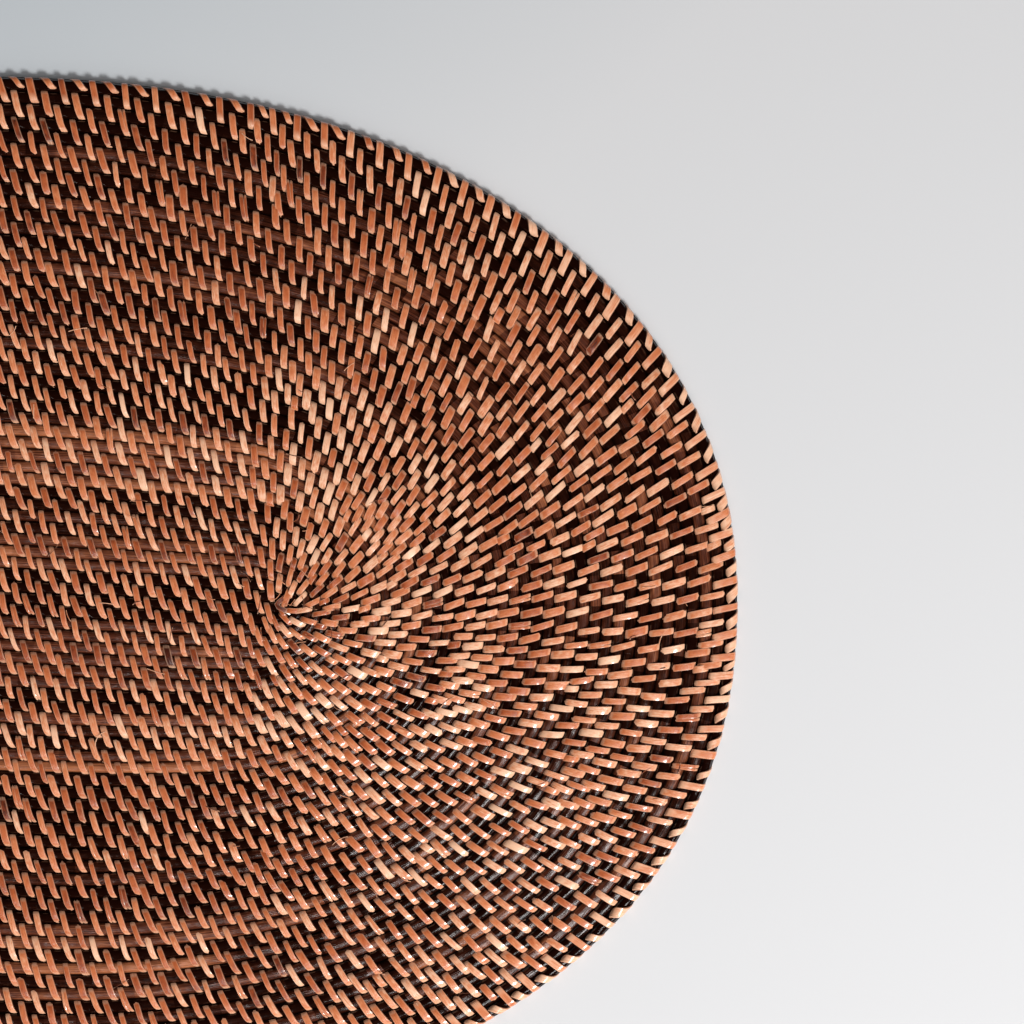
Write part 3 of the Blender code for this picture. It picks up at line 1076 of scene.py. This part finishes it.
def add_stage(sizes, colours):
    """A pale floor with painted shade towards its far corner, a soft key light from the lower right, a faint
    sky, and the camera straight above.
    """
    scene = bpy.context.scene
    mesh = bpy.data.meshes.new("floor")
    ring = ((-1, -1), (1, -1), (1, 1), (-1, 1))
    corners = [(x * FLOOR_HALF, y * FLOOR_HALF, FLOOR_LEVEL) for x, y in ring]
    mesh.from_pydata(corners, [], [(0, 1, 2, 3)])
    bench = Bench("pale_floor")
    place = bench.node("ShaderNodeTexCoord").outputs["Object"]
    grain = bench.noise(place, 900.0, 2.0)
    x, y, _ = bench.node("ShaderNodeSeparateXYZ", ((0, place),)).outputs
    # Painted shade: the floor darkens and turns bluer towards the far upper-left corner, standing in for the
    # light falling off there.
    corner = bench.fit(bench.math("SUBTRACT", y, bench.times(x, 0.9)), 0.0, 0.26, 0.0, 1.0)
    tone = bench.mix(corner, (*colours.floor_grey, 1.0), (*colours.floor_far_shade, 1.0))
    mesh.materials.append(bench.finish(tone, 0.75, grain, 0.00001, Specular_IOR_Level=0.3))
    floor = bpy.data.objects.new("floor", mesh)
    scene.collection.objects.link(floor)

    world = bpy.data.worlds.new("soft_room")
    world.use_nodes = True
    sky = world.node_tree.nodes["Background"]
    sky.inputs["Color"].default_value = (1.0, 0.97, 0.97, 1.0)
    sky.inputs["Strength"].default_value = SKY_STRENGTH
    scene.world = world
    world.cycles_visibility.glossy = False

    place = np.array(KEY_PLACE)
    for name, size, energy in KEYS:
        key = bpy.data.lights.new(name, "AREA")
        key.shape = "DISK"
        key.size = size
        key.energy = energy
        key.color = (1.0, 0.995, 0.985)
        lamp = bpy.data.objects.new(name, key)
        lamp.visible_glossy = name == "small_key"
        lamp.location = place
        lamp.rotation_euler = aim_angles(np.array(KEY_AIM) - place)
        scene.collection.objects.link(lamp)

    lens = bpy.data.cameras.new("camera")
    lens.lens = LENS
    lens.sensor_width = SENSOR
    lens.clip_start = 0.01
    camera = bpy.data.objects.new("camera", lens)
    camera.location = (*VIEW_CENTRE, VIEW_WIDTH * LENS / SENSOR + sizes.mat_thickness)
    camera.rotation_euler = (0.0, 0.0, VIEW_TURN)
    scene.collection.objects.link(camera)
    scene.camera = camera
    scene.view_settings.view_transform = "Standard"


def aim_angles(direction):
    """The turn that points an object's -Z axis along a direction."""
    x, y, z = direction
    return (math.atan2(math.hypot(x, y), -z), 0.0, math.atan2(y, x) - math.pi / 2)


def settings():
    """The scene's sizes and colours."""
    return bpy.context.scene.placemat_sizes, bpy.context.scene.placemat_colours


class PLACEMAT_OT_core(bpy.types.Operator):
    """Make the coiled core"""

    bl_idname = "placemat.core"
    bl_label = "Coiled core"

    def execute(self, context):
        add_core(*settings())
        return {"FINISHED"}


class PLACEMAT_OT_face_stitches(bpy.types.Operator):
    """Make the stitches on the face"""

    bl_idname = "placemat.face_stitches"
    bl_label = "Face stitches"

    def execute(self, context):
        add_face_stitches(*settings())
        return {"FINISHED"}


class PLACEMAT_OT_foot_stitches(bpy.types.Operator):
    """Make the stitches beneath the mat"""

    bl_idname = "placemat.foot_stitches"
    bl_label = "Foot stitches"

    def execute(self, context):
        add_foot_stitches(*settings())
        return {"FINISHED"}


class PLACEMAT_OT_loose_ends(bpy.types.Operator):
    """Add the turned splint at the start and the loose fibres"""

    bl_idname = "placemat.loose_ends"
    bl_label = "Loose ends"

    def execute(self, context):
        add_loose_ends(*settings())
        return {"FINISHED"}


class PLACEMAT_OT_rim(bpy.types.Operator):
    """Make the long stitches and short wraps that go over the edge"""

    bl_idname = "placemat.rim"
    bl_label = "Bound edge"

    def execute(self, context):
        add_rim(*settings())
        return {"FINISHED"}


class PLACEMAT_OT_stage(bpy.types.Operator):
    """Make the floor, the light and the camera"""

    bl_idname = "placemat.stage"
    bl_label = "Stage"

    def execute(self, context):
        add_stage(*settings())
        return {"FINISHED"}


class PLACEMAT_OT_sheet(bpy.types.Operator):
    """Work out the area inside the edge row"""

    bl_idname = "placemat.sheet"
    bl_label = "State the mat"

    def execute(self, context):
        sizes, _ = settings()
        area = oval_area(sizes)
        return {"FINISHED"}


def oval_area(sizes):
    """The area inside the edge row: half the sum of the cross products of neighbouring points."""
    edge = Coil(sizes).point(np.full(2400, EDGE_ROW), np.linspace(0, AROUND, 2400, endpoint=False))
    following = np.roll(edge, -1, axis=0)
    return float(np.sum(edge[:, 0] * following[:, 1] - edge[:, 1] * following[:, 0]) / 2)


class PLACEMAT_PT_panel(bpy.types.Panel):
    """The placemat's sizes, colours and pieces"""

    bl_label = "Placemat"
    bl_idname = "PLACEMAT_PT_panel"
    bl_space_type = "VIEW_3D"
    bl_region_type = "UI"
    bl_category = "Placemat"

    def draw(self, context):
        for group in settings():
            box = self.layout.box()
            for key in group.bl_rna.properties.keys():
                if key not in ("rna_type", "name"):
                    box.prop(group, key)
        for operator in OPERATORS:
            self.layout.operator(operator.bl_idname)


OPERATORS = (
    PLACEMAT_OT_core,
    PLACEMAT_OT_face_stitches,
    PLACEMAT_OT_foot_stitches,
    PLACEMAT_OT_rim,
    PLACEMAT_OT_loose_ends,
    PLACEMAT_OT_sheet,
    PLACEMAT_OT_stage,
)
CLASSES = (PLACEMAT_PG_sizes, PLACEMAT_PG_colours, *OPERATORS, PLACEMAT_PT_panel)


def register():
    """Register the classes and give the scene its sizes and colours."""
    for item in CLASSES:
        bpy.utils.register_class(item)
    bpy.types.Scene.placemat_sizes = bpy.props.PointerProperty(type=PLACEMAT_PG_sizes)
    bpy.types.Scene.placemat_colours = bpy.props.PointerProperty(type=PLACEMAT_PG_colours)


def unregister():
    """Take the classes and the scene's sizes and colours away."""
    del bpy.types.Scene.placemat_colours
    del bpy.types.Scene.placemat_sizes
    for item in reversed(CLASSES):
        bpy.utils.unregister_class(item)


def main():
    """Make the mat and its stage."""
    register()
    bpy.ops.placemat.core()
    bpy.ops.placemat.face_stitches()
    bpy.ops.placemat.foot_stitches()
    bpy.ops.placemat.rim()
    bpy.ops.placemat.loose_ends()
    bpy.ops.placemat.sheet()
    bpy.ops.placemat.stage()


if __name__ == "__main__":
    main()
